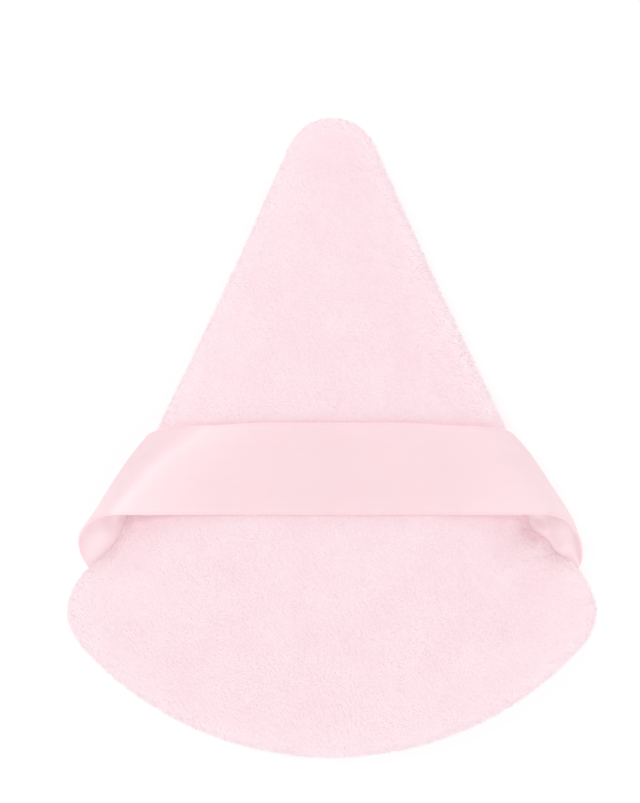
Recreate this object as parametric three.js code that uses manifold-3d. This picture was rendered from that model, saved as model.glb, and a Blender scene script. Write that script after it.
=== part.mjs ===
// A fan-shaped velour powder puff with a satin finger ribbon across its face.
// Millimetres. The puff lies on its back panel: +Z is up through the face, +Y points to the round tip
// and the origin is under the middle of its outline, on the surface that it rests on.
import * as THREE from "three";
import { mergeVertices } from "three/addons/utils/BufferGeometryUtils.js";
import Module from "manifold-3d";

const wasm = await Module();
wasm.setup();

// Outline of the puff, seen from above.
const LENGTH = 80;
const WIDTH = 66.2;
const TIP_RADIUS = 5.75;
const CORNER_RADIUS = 6;
const BASE_RADIUS = 42.3;
// The long sides pull in between the tip and the corners, on an arc of this radius.
const SIDE_RADIUS = 800;

// Heights above the surface that the puff rests on.
const SEAM_HEIGHT = 5.2;
const CROWN_HEIGHT = 11.2;

// How far in from the edge each face takes to reach its full height, and how square its shoulder is.
const FRONT_SHOULDER = 16;
const BACK_SHOULDER = 7;
const SHOULDER_POWER = 2.4;

// Velour cover: backing and pile together, the fold at the seam and the hem turned in behind it.
const VELOUR = 1.4;
const FOLD_RADIUS = 0.9;
const HEM_WIDTH = 1.6;

// Sewing thread, and the hand-sewn stitch that closes the gap where the cover was turned.
const THREAD = 0.4;
const THREAD_SIDES = 5;
const CLOSING_FROM_TIP = 10;
const CLOSING_LENGTH = 24;
const CLOSING_STITCHES = 8;
const CLOSING_SWING = 0.3;

// Satin ribbon: its cut, and where its middle lies.
const RIBBON_WIDTH = 11.5;
const RIBBON = 0.3;
const RIBBON_FROM_TIP = 43.85;
const RIBBON_TAB = 3;

// Each ribbon end is sewn lower down the side than the ribbon lies, so it turns over on the slant.
// These are how far below the ribbon's upper and lower edges the seam holds them.
const SEWN_BELOW_UPPER = 3.9;
const SEWN_BELOW_LOWER = 6.7;
// The ribbon leaves the seam at this angle up from +X, by these lengths before it starts to turn over.
const LEAVE_ANGLE = 66;
const LEAVE_UPPER = 2;
const LEAVE_LOWER = 4.05;
// The turn reaches this far out past the place where the ribbon lies flat again.
const REACH_UPPER = 3.6;
const REACH_LOWER = 5.3;
// The ribbon lies flat this far in from the sides of the puff.
const FLAT_UPPER = 2.3;
const FLAT_LOWER = 0.7;
// The pull of the ribbon draws the side seam in by this much.
const WAIST_DEPTH = 2.6;
// The waist ends this far below the lower end of the sewn stretch.
const WAIST_TAIL = 0.2;

// Gap between pieces that touch on the real puff.
const CLEARANCE = 0.3;

// Facets.
const BASE_STEPS = 6;
const CORNER_STEPS = 5;
const SIDE_STEPS = 15;
const TIP_STEPS = 5;
const TURN_STEPS = 12;
const RIBBON_STEPS = 6;
const SWING_STEPS = 3;
// Rings of a face: set in from its edge first, then as shares of the way out from the middle.
const EDGE_INSETS = [0.3, 1, 2.2];
const FACE_SHARES = [0.9, 0.75, 0.5, 0.25];
const LINING_SHARES = [0.85, 0.6, 0.3];
const FOLD_DEGREES = [90, 45, 0];

const tipY = LENGTH / 2;
const baseY = -LENGTH / 2;
const ribbonY = tipY - RIBBON_FROM_TIP;
const ribbonTop = ribbonY + RIBBON_WIDTH / 2;
const ribbonBottom = ribbonY - RIBBON_WIDTH / 2;
const sewnTop = ribbonTop - SEWN_BELOW_UPPER;
const sewnBottom = ribbonBottom - SEWN_BELOW_LOWER;
const ribbonMid = CROWN_HEIGHT + CLEARANCE + RIBBON / 2;
const halfGap = CLEARANCE / 2;
const hemInset = VELOUR + HEM_WIDTH;
const stitchInset = VELOUR + HEM_WIDTH / 2;
const foamInset = hemInset + CLEARANCE;
const lastInset = EDGE_INSETS.at(-1);
const liningInset = VELOUR + EDGE_INSETS[0];

function smoothstep(t) {
  const x = Math.min(Math.max(t, 0), 1);
  return x * x * (3 - 2 * x);
}

// Points on an arc, from one angle to the other, without the last one.
function arcPoints(centre, radius, from, to, steps) {
  const points = [];
  for (let i = 0; i < steps; i++) {
    const angle = from + ((to - from) * i) / steps;
    const across = radius * Math.cos(angle);
    points.push(new THREE.Vector2(centre.x + across, centre.y + radius * Math.sin(angle)));
  }
  return points;
}

// Centre of the circle that touches two others from outside, on their right.
function touchingCentre(a, radiusA, b, radiusB, radius) {
  const between = b.clone().sub(a);
  const span = between.length();
  const reachA = radius + radiusA;
  const reachB = radius + radiusB;
  const along = (span * span + reachA * reachA - reachB * reachB) / (2 * span);
  const off = Math.sqrt(reachA * reachA - along * along);
  const unit = between.divideScalar(span);
  const right = new THREE.Vector2(-unit.y, unit.x);
  return a.clone().addScaledVector(unit, along).addScaledVector(right, off);
}

// Right half of the outline from the middle of the base to the tip, then its mirror image.
function plainOutline() {
  const tip = new THREE.Vector2(0, tipY - TIP_RADIUS);
  const base = new THREE.Vector2(0, baseY + BASE_RADIUS);
  const cornerX = WIDTH / 2 - CORNER_RADIUS;
  const cornerDrop = Math.sqrt((BASE_RADIUS - CORNER_RADIUS) ** 2 - cornerX ** 2);
  const corner = new THREE.Vector2(cornerX, base.y - cornerDrop);
  const side = touchingCentre(tip, TIP_RADIUS, corner, CORNER_RADIUS, SIDE_RADIUS);
  const angleOf = (from, to) => Math.atan2(to.y - from.y, to.x - from.x);
  const cornerStart = angleOf(base, corner);
  const cornerEnd = angleOf(corner, side);
  const tipStart = angleOf(tip, side);
  const sideStart = angleOf(side, corner) + (angleOf(side, corner) < 0 ? 2 * Math.PI : 0);
  const sideEnd = angleOf(side, tip) + (angleOf(side, tip) < 0 ? 2 * Math.PI : 0);
  const right = [
    ...arcPoints(base, BASE_RADIUS, -Math.PI / 2, cornerStart, BASE_STEPS),
    ...arcPoints(corner, CORNER_RADIUS, cornerStart, cornerEnd, CORNER_STEPS),
    ...arcPoints(side, SIDE_RADIUS, sideStart, sideEnd, SIDE_STEPS),
    ...arcPoints(tip, TIP_RADIUS, tipStart, Math.PI / 2, TIP_STEPS),
  ];
  const left = right.slice(1).reverse();
  const mirrored = left.map((p) => new THREE.Vector2(-p.x, p.y));
  return [...right, new THREE.Vector2(0, tipY), ...mirrored];
}

// How far the ribbon's pull draws the side in at this height of the outline.
function waistAt(y) {
  const upper = (ribbonTop - y) / (ribbonTop - ribbonBottom);
  const end = sewnBottom - WAIST_TAIL;
  const lower = (y - end) / (ribbonBottom - end);
  return WAIST_DEPTH * Math.min(smoothstep(upper), smoothstep(lower));
}

const fan = plainOutline();
const outline = fan.map((p) => new THREE.Vector2(p.x - Math.sign(p.x) * waistAt(p.y), p.y));

// Half-width of an outline at a height, on its right side.
function halfWidth(points, y) {
  for (let i = 0; i + 1 < points.length; i++) {
    const low = points[i];
    const high = points[i + 1];
    if (low.y <= y && high.y >= y && high.y > low.y) {
      return low.x + ((high.x - low.x) * (y - low.y)) / (high.y - low.y);
    }
  }
  throw new Error("no edge of the outline at y " + y);
}

// Inward unit normals of the outline, which runs counter-clockwise.
const inward = outline.map((p, i) => {
  const before = outline[(i + outline.length - 1) % outline.length];
  const after = outline[(i + 1) % outline.length];
  const run = after.clone().sub(before).normalize();
  return new THREE.Vector2(-run.y, run.x);
});

// Middle of the scaled rings.
const middle = outline.reduce((sum, p) => sum.add(p), new THREE.Vector2());
middle.divideScalar(outline.length);

// Distance in from the edge.
function depthAt(x, y) {
  let nearest = Infinity;
  const run = new THREE.Vector2();
  const to = new THREE.Vector2();
  outline.forEach((a, i) => {
    const b = outline[(i + 1) % outline.length];
    run.subVectors(b, a);
    to.set(x - a.x, y - a.y);
    const share = Math.min(Math.max(to.dot(run) / run.lengthSq(), 0), 1);
    nearest = Math.min(nearest, to.addScaledVector(run, -share).length());
  });
  return nearest;
}

// Share of its full height that a soft face has reached at a distance in from its edge.
function shoulder(depth, width) {
  const left = 1 - Math.min(Math.max(depth / width, 0), 1);
  return (1 - left ** SHOULDER_POWER) ** (1 / SHOULDER_POWER);
}

// Heights of the faces of the cover at a distance in from its edge.
const frontHem = SEAM_HEIGHT + halfGap;
const frontShelf = frontHem + VELOUR;
const backHem = SEAM_HEIGHT - halfGap;
const backShelf = backHem - VELOUR;
const faceRise = CROWN_HEIGHT - frontHem - FOLD_RADIUS;
const liningRise = CROWN_HEIGHT - VELOUR - frontShelf;
const restDrop = backHem - FOLD_RADIUS;
const floorDrop = backShelf - VELOUR;
const faceHeight = (d) => frontHem + FOLD_RADIUS + faceRise * shoulder(d, FRONT_SHOULDER);
const ceilingHeight = (d) => frontShelf + liningRise * shoulder(d - VELOUR, FRONT_SHOULDER);
const restHeight = (d) => restDrop - restDrop * shoulder(d, BACK_SHOULDER);
const floorHeight = (d) => backShelf - floorDrop * shoulder(d - VELOUR, BACK_SHOULDER);

// A ring of points set in from the outline, at one height or at a height that follows the depth.
function insetRing(inset, height) {
  return outline.map((p, i) => {
    const x = p.x + inward[i].x * inset;
    const y = p.y + inward[i].y * inset;
    const z = typeof height === "function" ? height(depthAt(x, y)) : height;
    return new THREE.Vector3(x, y, z);
  });
}

// Rings that shrink a set-in ring towards the middle, on a face whose height follows the depth.
function shrinkingRings(inset, shares, height) {
  const rim = insetRing(inset, 0);
  return shares.map((share) =>
    rim.map((p) => {
      const x = middle.x + (p.x - middle.x) * share;
      const y = middle.y + (p.y - middle.y) * share;
      return new THREE.Vector3(x, y, height(depthAt(x, y)));
    }),
  );
}

const midPoint = (height) => new THREE.Vector3(middle.x, middle.y, height(depthAt(middle.x, middle.y)));

// One closed surface through a row of rings: it starts and ends in a point, or runs back into itself.
function loft(rings, start, end) {
  const count = outline.length;
  const positions = rings.flat();
  const index = [];
  const joined = start ? rings.length - 1 : rings.length;
  for (let r = 0; r < joined; r++) {
    const inner = r * count;
    const outer = ((r + 1) % rings.length) * count;
    for (let k = 0; k < count; k++) {
      const next = (k + 1) % count;
      index.push(inner + k, outer + k, outer + next);
      index.push(inner + k, outer + next, inner + next);
    }
  }
  if (start) {
    const first = positions.push(start) - 1;
    const last = positions.push(end) - 1;
    const rim = (rings.length - 1) * count;
    for (let k = 0; k < count; k++) {
      const next = (k + 1) % count;
      index.push(first, k, next);
      index.push(last, rim + next, rim + k);
    }
  }
  return new THREE.BufferGeometry().setFromPoints(positions).setIndex(index);
}

// Rings of the fold at the seam, from the side of the puff round to its hem.
function foldRings(hem, up) {
  return FOLD_DEGREES.map((degrees) => {
    const angle = THREE.MathUtils.degToRad(degrees);
    const inset = FOLD_RADIUS * (1 - Math.sin(angle));
    return insetRing(inset, hem + up * FOLD_RADIUS * (1 - Math.cos(angle)));
  });
}

// Rings that the linings and the foam between them share, from the foam's edge to the middle.
function liningRings(height) {
  return [insetRing(foamInset, height), ...shrinkingRings(foamInset, LINING_SHARES, height)];
}

// The front panel, from the middle of its face out to the fold, in along the hem and back under the face.
function frontPanel() {
  const face = shrinkingRings(lastInset, FACE_SHARES, faceHeight).reverse();
  const edge = EDGE_INSETS.map((inset) => insetRing(inset, faceHeight)).reverse();
  const hem = [insetRing(hemInset, frontHem), insetRing(hemInset, frontShelf)];
  const shelf = [insetRing(VELOUR, frontShelf), insetRing(liningInset, ceilingHeight)];
  const lining = liningRings(ceilingHeight);
  const rings = [...face, ...edge, ...foldRings(frontHem, 1), ...hem, ...shelf, ...lining];
  return loft(rings, midPoint(faceHeight), midPoint(ceilingHeight));
}

// The back panel is made the same way, from its lining down to the face that it rests on.
function backPanel() {
  const lining = liningRings(floorHeight).reverse();
  const shelf = [insetRing(liningInset, floorHeight), insetRing(VELOUR, backShelf)];
  const hem = [insetRing(hemInset, backShelf), insetRing(hemInset, backHem)];
  const edge = EDGE_INSETS.map((inset) => insetRing(inset, restHeight));
  const face = shrinkingRings(lastInset, FACE_SHARES, restHeight);
  const rings = [...lining, ...shelf, ...hem, ...foldRings(backHem, -1).reverse(), ...edge, ...face];
  return loft(rings, midPoint(floorHeight), midPoint(restHeight));
}

// The foam is cut to stop at the hems, and fills the cover from lining to lining.
function spongeCore() {
  const top = (d) => ceilingHeight(d) - CLEARANCE;
  const bottom = (d) => floorHeight(d) + CLEARANCE;
  const rings = [...liningRings(top).reverse(), ...liningRings(bottom)];
  return loft(rings, midPoint(top), midPoint(bottom));
}

// A seam thread lies on the inner side of a hem, all the way round.
function seamThread(height) {
  const rings = [];
  for (let i = 0; i < THREAD_SIDES; i++) {
    const angle = (-2 * Math.PI * i) / THREAD_SIDES;
    const inset = stitchInset - (THREAD / 2) * Math.cos(angle);
    rings.push(insetRing(inset, height + (THREAD / 2) * Math.sin(angle)));
  }
  return loft(rings);
}

// The closing stitch runs along the seam on the upper left side, swinging from fold to fold.
function closingStitch() {
  const points = [];
  const turns = 2 * CLOSING_STITCHES;
  for (let i = 0; i <= turns; i++) {
    const y = tipY - CLOSING_FROM_TIP - (CLOSING_LENGTH * i) / turns;
    const x = -halfWidth(outline, y) - CLEARANCE - THREAD / 2;
    const swing = i % 2 ? CLOSING_SWING : -CLOSING_SWING;
    points.push(new THREE.Vector3(x, y, SEAM_HEIGHT + swing));
  }
  const section = new THREE.Shape();
  section.absarc(0, 0, THREAD / 2, 0, 2 * Math.PI);
  const extrudePath = new THREE.CatmullRomCurve3(points);
  const steps = turns * SWING_STEPS;
  const curveSegments = THREAD_SIDES;
  return new THREE.ExtrudeGeometry(section, { extrudePath, steps, curveSegments, bevelEnabled: false });
}

// Where the right end of the ribbon is sewn, for a share of its width down from its upper edge.
function sewnPoint(share) {
  const y = THREE.MathUtils.lerp(sewnTop, sewnBottom, share);
  return new THREE.Vector3(halfWidth(outline, y), y, SEAM_HEIGHT);
}

// Where the ribbon lies flat again after its turn.
function flatPoint(share) {
  const upper = halfWidth(fan, ribbonTop) - FLAT_UPPER;
  const lower = halfWidth(fan, ribbonBottom) - FLAT_LOWER;
  const x = THREE.MathUtils.lerp(upper, lower, share);
  return new THREE.Vector3(x, THREE.MathUtils.lerp(ribbonTop, ribbonBottom, share), ribbonMid);
}

const leaveAngle = THREE.MathUtils.degToRad(LEAVE_ANGLE);
const leaving = new THREE.Vector3(Math.cos(leaveAngle), Math.sin(leaveAngle), 0);

// Middle line of the ribbon from the end of its tab, through the seam and over the turn.
function turnLine(share) {
  const sewn = sewnPoint(share);
  const flat = flatPoint(share);
  const leave = THREE.MathUtils.lerp(LEAVE_UPPER, LEAVE_LOWER, share);
  const reach = THREE.MathUtils.lerp(REACH_UPPER, REACH_LOWER, share);
  const out = sewn.clone().addScaledVector(leaving, leave);
  const over = flat.clone().add(new THREE.Vector3(reach, 0, 0));
  const turn = new THREE.CubicBezierCurve3(sewn, out, over, flat).getPoints(TURN_STEPS);
  const tab = [1, 0.5].map((part) => sewn.clone().addScaledVector(leaving, -RIBBON_TAB * part));
  return [...tab, ...turn];
}

// A thin closed sheet of even thickness about a grid of points.
function thickSheet(grid, thickness) {
  const rows = grid.length;
  const columns = grid[0].length;
  const near = (r, c) => grid[Math.min(Math.max(r, 0), rows - 1)][Math.min(Math.max(c, 0), columns - 1)];
  const outer = [];
  const inner = [];
  for (let r = 0; r < rows; r++) {
    for (let c = 0; c < columns; c++) {
      const across = near(r + 1, c).clone().sub(near(r - 1, c));
      const along = near(r, c + 1).clone().sub(near(r, c - 1));
      const normal = along.cross(across).normalize();
      outer.push(grid[r][c].clone().addScaledVector(normal, thickness / 2));
      inner.push(grid[r][c].clone().addScaledVector(normal, -thickness / 2));
    }
  }
  const index = [];
  const quad = (a, b, c, d) => index.push(a, b, c, a, c, d);
  const far = outer.length;
  const at = (r, c) => r * columns + c;
  for (let r = 0; r + 1 < rows; r++) {
    for (let c = 0; c + 1 < columns; c++) {
      const corners = [at(r, c), at(r, c + 1), at(r + 1, c + 1), at(r + 1, c)];
      quad(...corners);
      quad(...corners.map((k) => k + far).reverse());
    }
  }
  const rim = [];
  for (let c = 0; c + 1 < columns; c++) rim.push(at(0, c));
  for (let r = 0; r + 1 < rows; r++) rim.push(at(r, columns - 1));
  for (let c = columns - 1; c > 0; c--) rim.push(at(rows - 1, c));
  for (let r = rows - 1; r > 0; r--) rim.push(at(r, 0));
  rim.forEach((a, i) => {
    const b = rim[(i + 1) % rim.length];
    quad(b, a, a + far, b + far);
  });
  return new THREE.BufferGeometry().setFromPoints([...outer, ...inner]).setIndex(index);
}

// Mirror image of a geometry in the plane x = 0, with its faces still pointing outwards.
function mirrored(geometry) {
  const copy = geometry.clone().scale(-1, 1, 1);
  copy.setIndex([...copy.index.array].reverse());
  return copy;
}

const ribbonShares = Array.from({ length: RIBBON_STEPS + 1 }, (_, i) => i / RIBBON_STEPS);

function rightRibbonEnd() {
  return thickSheet(ribbonShares.map(turnLine), RIBBON);
}

// The flat middle of the ribbon, between the two turns.
function ribbonBand() {
  const upper = flatPoint(0);
  const lower = flatPoint(1);
  const slant = Math.hypot(lower.x - upper.x, lower.y - upper.y) / RIBBON_WIDTH;
  const gap = CLEARANCE * slant;
  const shape = new THREE.Shape();
  shape.moveTo(upper.x - gap, upper.y);
  shape.lineTo(-upper.x + gap, upper.y);
  shape.lineTo(-lower.x + gap, lower.y);
  shape.lineTo(lower.x - gap, lower.y);
  shape.closePath();
  const band = new THREE.ExtrudeGeometry(shape, { depth: RIBBON, bevelEnabled: false });
  return band.translate(0, 0, ribbonMid - RIBBON / 2);
}

// Room for a ribbon end between the hems: its tab, with clearance all round, out past the folds.
function tabPocket() {
  const along = new THREE.Vector3().subVectors(sewnPoint(0), sewnPoint(1)).normalize();
  const cornerShift = (share) => (share === 0 ? CLEARANCE : share === 1 ? -CLEARANCE : 0);
  const edge = (reach) =>
    ribbonShares.map((share) => {
      const p = sewnPoint(share).addScaledVector(leaving, reach);
      p.addScaledVector(along, cornerShift(share));
      return new THREE.Vector2(p.x, p.y);
    });
  const inner = edge(-RIBBON_TAB - CLEARANCE);
  const outer = edge(2 * FOLD_RADIUS);
  const shape = new THREE.Shape([...inner, ...outer.reverse()]);
  const depth = RIBBON + 2 * CLEARANCE;
  const pocket = new THREE.ExtrudeGeometry(shape, { depth, bevelEnabled: false });
  return indexed(pocket.translate(0, 0, SEAM_HEIGHT - depth / 2));
}

// The geometry with its shared corners merged, which an extruded one comes without.
function indexed(geometry) {
  const bare = geometry.clone();
  bare.deleteAttribute("normal");
  bare.deleteAttribute("uv");
  return mergeVertices(bare);
}

function solidOf(geometry) {
  const { attributes, index } = indexed(geometry);
  const vertProperties = attributes.position.array;
  const triVerts = new Uint32Array(index.array);
  return new wasm.Manifold(new wasm.Mesh({ numProp: 3, vertProperties, triVerts }));
}

function cutAway(geometry, cutters) {
  const left = cutters.reduce((body, cutter) => body.subtract(solidOf(cutter)), solidOf(geometry));
  const { vertProperties, triVerts } = left.getMesh();
  const cut = new THREE.BufferGeometry();
  cut.setAttribute("position", new THREE.BufferAttribute(vertProperties, 3));
  return cut.setIndex(new THREE.BufferAttribute(triVerts, 1));
}

function finish(color, roughness) {
  return new THREE.MeshStandardMaterial({ color, roughness, metalness: 0 });
}

const velour = finish(0xfde1e7, 0.95);
const satin = finish(0xfbdde2, 0.35);
const foam = finish(0xfdf3ec, 0.9);
const thread = finish(0xf6cdd6, 0.7);

const puff = new THREE.Group();

function addPiece(name, geometry, material) {
  geometry.computeVertexNormals();
  const mesh = new THREE.Mesh(geometry, material);
  mesh.name = name;
  puff.add(mesh);
}

const pocket = tabPocket();
const pockets = [pocket, mirrored(pocket)];
const threadRise = CLEARANCE + THREAD / 2;
const ribbonEnd = rightRibbonEnd();
addPiece("front_panel", cutAway(frontPanel(), pockets), velour);
addPiece("back_panel", cutAway(backPanel(), pockets), velour);
addPiece("sponge_core", spongeCore(), foam);
addPiece("needle_thread", seamThread(frontShelf + threadRise), thread);
addPiece("bobbin_thread", seamThread(backShelf - threadRise), thread);
addPiece("closing_stitch", closingStitch(), thread);
addPiece("ribbon_band", ribbonBand(), satin);
addPiece("ribbon_right_end", ribbonEnd, satin);
addPiece("ribbon_left_end", mirrored(ribbonEnd), satin);

export default puff;
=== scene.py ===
# %% [markdown]
# # A fan-shaped powder puff with a finger ribbon
#
# A powder puff is two fans of velour, sewn edge to edge, turned out and filled with foam. A satin ribbon
# is caught in the two side seams, so that a finger can slip under it. We build the looks of each piece
# round the puff's solid model, which is loaded first and stays where it is. Everything is in metres:
# +Z points up through the face with the ribbon, and +Y to the round tip.

# %% Load the solid model
import math

import bmesh
import bpy
import numpy as np
from mathutils import Matrix, Vector


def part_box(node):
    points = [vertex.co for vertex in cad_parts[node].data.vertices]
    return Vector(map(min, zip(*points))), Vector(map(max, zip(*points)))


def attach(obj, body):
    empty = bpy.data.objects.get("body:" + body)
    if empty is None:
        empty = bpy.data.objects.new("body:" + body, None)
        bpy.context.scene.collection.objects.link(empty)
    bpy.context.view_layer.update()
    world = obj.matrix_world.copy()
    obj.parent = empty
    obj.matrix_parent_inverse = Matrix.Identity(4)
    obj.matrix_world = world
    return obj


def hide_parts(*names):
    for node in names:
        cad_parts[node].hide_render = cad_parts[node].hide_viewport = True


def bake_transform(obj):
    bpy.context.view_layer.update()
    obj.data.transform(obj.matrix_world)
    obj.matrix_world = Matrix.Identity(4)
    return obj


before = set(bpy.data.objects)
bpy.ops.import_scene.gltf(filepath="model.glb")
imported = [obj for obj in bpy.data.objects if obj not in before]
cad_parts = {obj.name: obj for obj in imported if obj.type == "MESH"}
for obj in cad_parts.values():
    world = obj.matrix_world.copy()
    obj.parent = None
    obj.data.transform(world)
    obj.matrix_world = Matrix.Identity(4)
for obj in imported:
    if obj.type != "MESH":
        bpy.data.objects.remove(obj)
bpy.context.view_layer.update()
scene = bpy.context.scene
scene.view_settings.view_transform = "Standard"
MM = 0.001
print("solid pieces:", sorted(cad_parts))

# %% [markdown]
# ## The sizes of the puff
#
# These are the sizes the puff is cut and sewn to. The outline is drawn with arcs: a round tip, two long
# sides that curve in a little, two round corners and a shallow base. The seam runs round the side at its
# own height, below the middle, because the face with the ribbon is the fuller one. We keep these numbers
# together, because every piece is cut from the same outline.

# %% Sizes
TIP_Y = 40 * MM
BASE_Y = -40 * MM
WIDTH = 66.2 * MM
TIP_RADIUS = 5.75 * MM
CORNER_RADIUS = 6 * MM
BASE_RADIUS = 42.3 * MM
SIDE_RADIUS = 800 * MM
SEAM_HEIGHT = 5.2 * MM
CROWN_HEIGHT = 11.2 * MM
print(f"puff {WIDTH / MM:.1f} mm wide and {(TIP_Y - BASE_Y) / MM:.1f} mm long")

# %% [markdown]
# ## The camera
#
# The puff lies flat and is seen from straight above, with its tip at the top of the picture. A long lens
# from far away keeps the ribbon, which lies higher than the seam, from looking larger than it is. The
# camera is moved sideways, not shifted, so that the puff sits a little right of and below the middle.

# %% Camera
PICTURE_HEIGHT = 803
PIXEL = 0.1252 * MM
CAMERA_X = -1.5 * MM
CAMERA_Y = 4.5 * MM
CAMERA_RISE = 0.9
SENSOR = 36

lens_camera = bpy.data.cameras.new("camera")
lens_camera.sensor_width = SENSOR
lens_camera.lens = SENSOR * CAMERA_RISE / (PICTURE_HEIGHT * PIXEL)
camera = bpy.data.objects.new("camera", lens_camera)
camera.location = (CAMERA_X, CAMERA_Y, SEAM_HEIGHT + CAMERA_RISE)
scene.collection.objects.link(camera)
scene.camera = camera
print(f"lens {lens_camera.lens:.0f} mm")

# %% [markdown]
# ## The studio
#
# The puff is shown on white, in the soft light of a tent of white cloth. The dome stands for the tent. It
# is brighter towards the horizon, so that the sloping edges of the puff come out as pale as its face. Two
# softboxes give the satin something to shine with. For the camera, part of the floor's brightness glows
# by itself, so that it is white and still takes a faint shadow. For the light that bounces off it, it is
# a plain white floor. More bounces than usual keep the pile from looking grey between its fibres.

# %% Helpers for nodes
def add_node(tree, kind, **settings):
    """A new node in the tree, with the given settings."""
    node = tree.nodes.new(kind)
    for name, value in settings.items():
        setattr(node, name, value)
    return node


def set_inputs(node, values):
    """Sets the constants on the named inputs of a node."""
    for name, value in values.items():
        node.inputs[name].default_value = value


def grey(value):
    return (value, value, value, 1)


def seen_directly(tree):
    """1 for what is seen straight, in a shine or through a piece, and 0 for light that only bounces."""
    path = add_node(tree, "ShaderNodeLightPath")
    seen = path.outputs["Is Camera Ray"]
    for way in ("Is Glossy Ray", "Is Transmission Ray"):
        either = add_node(tree, "ShaderNodeMath", operation="MAXIMUM")
        tree.links.new(seen, either.inputs[0])
        tree.links.new(path.outputs[way], either.inputs[1])
        seen = either.outputs[0]
    return seen


def mix_by_sight(tree, bounced, seen):
    """One shader for light that only bounces and another for what is seen."""
    mix = add_node(tree, "ShaderNodeMixShader")
    tree.links.new(seen_directly(tree), mix.inputs["Fac"])
    tree.links.new(bounced.outputs[0], mix.inputs[1])
    tree.links.new(seen.outputs[0], mix.inputs[2])
    return mix.outputs[0]


# %% Dome
DOME_TOP = 0.355
DOME_RIM = 1.71

world = bpy.data.worlds.new("studio dome")
world.use_nodes = True
scene.world = world
sky = world.node_tree
dome = sky.nodes["Background"]
backdrop = add_node(sky, "ShaderNodeBackground")
for light in (dome, backdrop):
    set_inputs(light, {"Color": grey(1)})
direction = add_node(sky, "ShaderNodeSeparateXYZ")
sky.links.new(add_node(sky, "ShaderNodeTexCoord").outputs["Generated"], direction.inputs[0])
rim_to_top = add_node(sky, "ShaderNodeMapRange")
set_inputs(rim_to_top, {"To Min": DOME_RIM, "To Max": DOME_TOP})
sky.links.new(direction.outputs["Z"], rim_to_top.inputs["Value"])
sky.links.new(rim_to_top.outputs["Result"], dome.inputs["Strength"])
sky.links.new(mix_by_sight(sky, dome, backdrop), sky.nodes["World Output"].inputs["Surface"])
print(f"dome {DOME_RIM / DOME_TOP:.1f} times as bright at its rim as at its top")

# %% Floor
FLOOR_WHITE = 0.97
FLOOR_SEEN = 0.5
FLOOR_GLOW = 0.55
FLOOR_REACH = 2

floor_finish = bpy.data.materials.new("white floor")
floor_finish.use_nodes = True
floor_tree = floor_finish.node_tree
floor_tree.nodes.remove(floor_tree.nodes["Principled BSDF"])
bounce = add_node(floor_tree, "ShaderNodeBsdfDiffuse")
set_inputs(bounce, {"Color": grey(FLOOR_WHITE)})
shaded = add_node(floor_tree, "ShaderNodeBsdfDiffuse")
set_inputs(shaded, {"Color": grey(FLOOR_SEEN)})
glow = add_node(floor_tree, "ShaderNodeEmission")
set_inputs(glow, {"Strength": FLOOR_GLOW})
lit = add_node(floor_tree, "ShaderNodeAddShader")
floor_tree.links.new(shaded.outputs[0], lit.inputs[0])
floor_tree.links.new(glow.outputs[0], lit.inputs[1])
floor_surface = floor_tree.nodes["Material Output"].inputs["Surface"]
floor_tree.links.new(mix_by_sight(floor_tree, bounce, lit), floor_surface)

floor_bm = bmesh.new()
bmesh.ops.create_grid(floor_bm, x_segments=1, y_segments=1, size=FLOOR_REACH)
floor_mesh = bpy.data.meshes.new("floor")
floor_bm.to_mesh(floor_mesh)
floor_bm.free()
floor_mesh.materials.append(floor_finish)
floor = bpy.data.objects.new("floor", floor_mesh)
scene.collection.objects.link(floor)
print(f"floor {2 * FLOOR_REACH} m wide")

# %% Softboxes
SOFTBOXES = {
    "left softbox": {"place": (-0.36, 0.26, 0.9), "side": 0.32, "power": 1.7},
    "right softbox": {"place": (0.35, -0.35, 0.9), "side": 0.7, "power": 1.7},
}
MAX_BOUNCES = 24
DIFFUSE_BOUNCES = 16


def softbox(name, place, side, power):
    """A square light, turned to the middle of the floor."""
    lamp = bpy.data.lights.new(name, "AREA")
    lamp.shape = "SQUARE"
    lamp.size = side
    lamp.energy = power
    box = bpy.data.objects.new(name, lamp)
    box.location = place
    box.rotation_euler = (-Vector(place)).to_track_quat("-Z", "Y").to_euler()
    scene.collection.objects.link(box)


for name, settings in SOFTBOXES.items():
    softbox(name, **settings)
scene.cycles.max_bounces = MAX_BOUNCES
scene.cycles.diffuse_bounces = DIFFUSE_BOUNCES
print("lights:", ", ".join(SOFTBOXES))

# %% [markdown]
# ## The pull of the ribbon
#
# The ribbon is sewn into the side seams, and its pull draws the sides of the puff in to a waist. On the
# right the waist is deepest at the ribbon's lower edge, and on the left further down. On the right the
# cover is also gathered between the stitches that hold the ribbon's end, so its border there is scalloped.
# Each of these is only a distance that the side is moved in, so that the fan below can be cut plain first.

# %% Waist and gathers
RIBBON_TOP = 1.9 * MM
RIBBON_BOTTOM = -9.6 * MM
SEWN_TOP = -2 * MM
SEWN_BOTTOM = -16.3 * MM
SEWN_MARGIN = 0.2 * MM
RIGHT_WAIST = {"low": RIBBON_BOTTOM, "depth": 2.6 * MM, "end": SEWN_BOTTOM - SEWN_MARGIN}
LEFT_WAIST = {"low": -13 * MM, "depth": 1.9 * MM, "end": -18 * MM}
GATHER_DEPTH = 1.5 * MM
GATHER_PITCH = 2.9 * MM
GATHER_FROM = -9.8 * MM
GATHER_FADE = 1 * MM


def smoothstep(t):
    t = np.clip(t, 0, 1)
    return t * t * (3 - 2 * t)


def waist(y, side):
    """How far the right (1) or left (-1) side is drawn in by the ribbon, at this place along the puff."""
    pull = RIGHT_WAIST if side > 0 else LEFT_WAIST
    upper = (RIBBON_TOP - y) / (RIBBON_TOP - pull["low"])
    lower = (y - pull["end"]) / (pull["low"] - pull["end"])
    return pull["depth"] * np.minimum(smoothstep(upper), smoothstep(lower))


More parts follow.
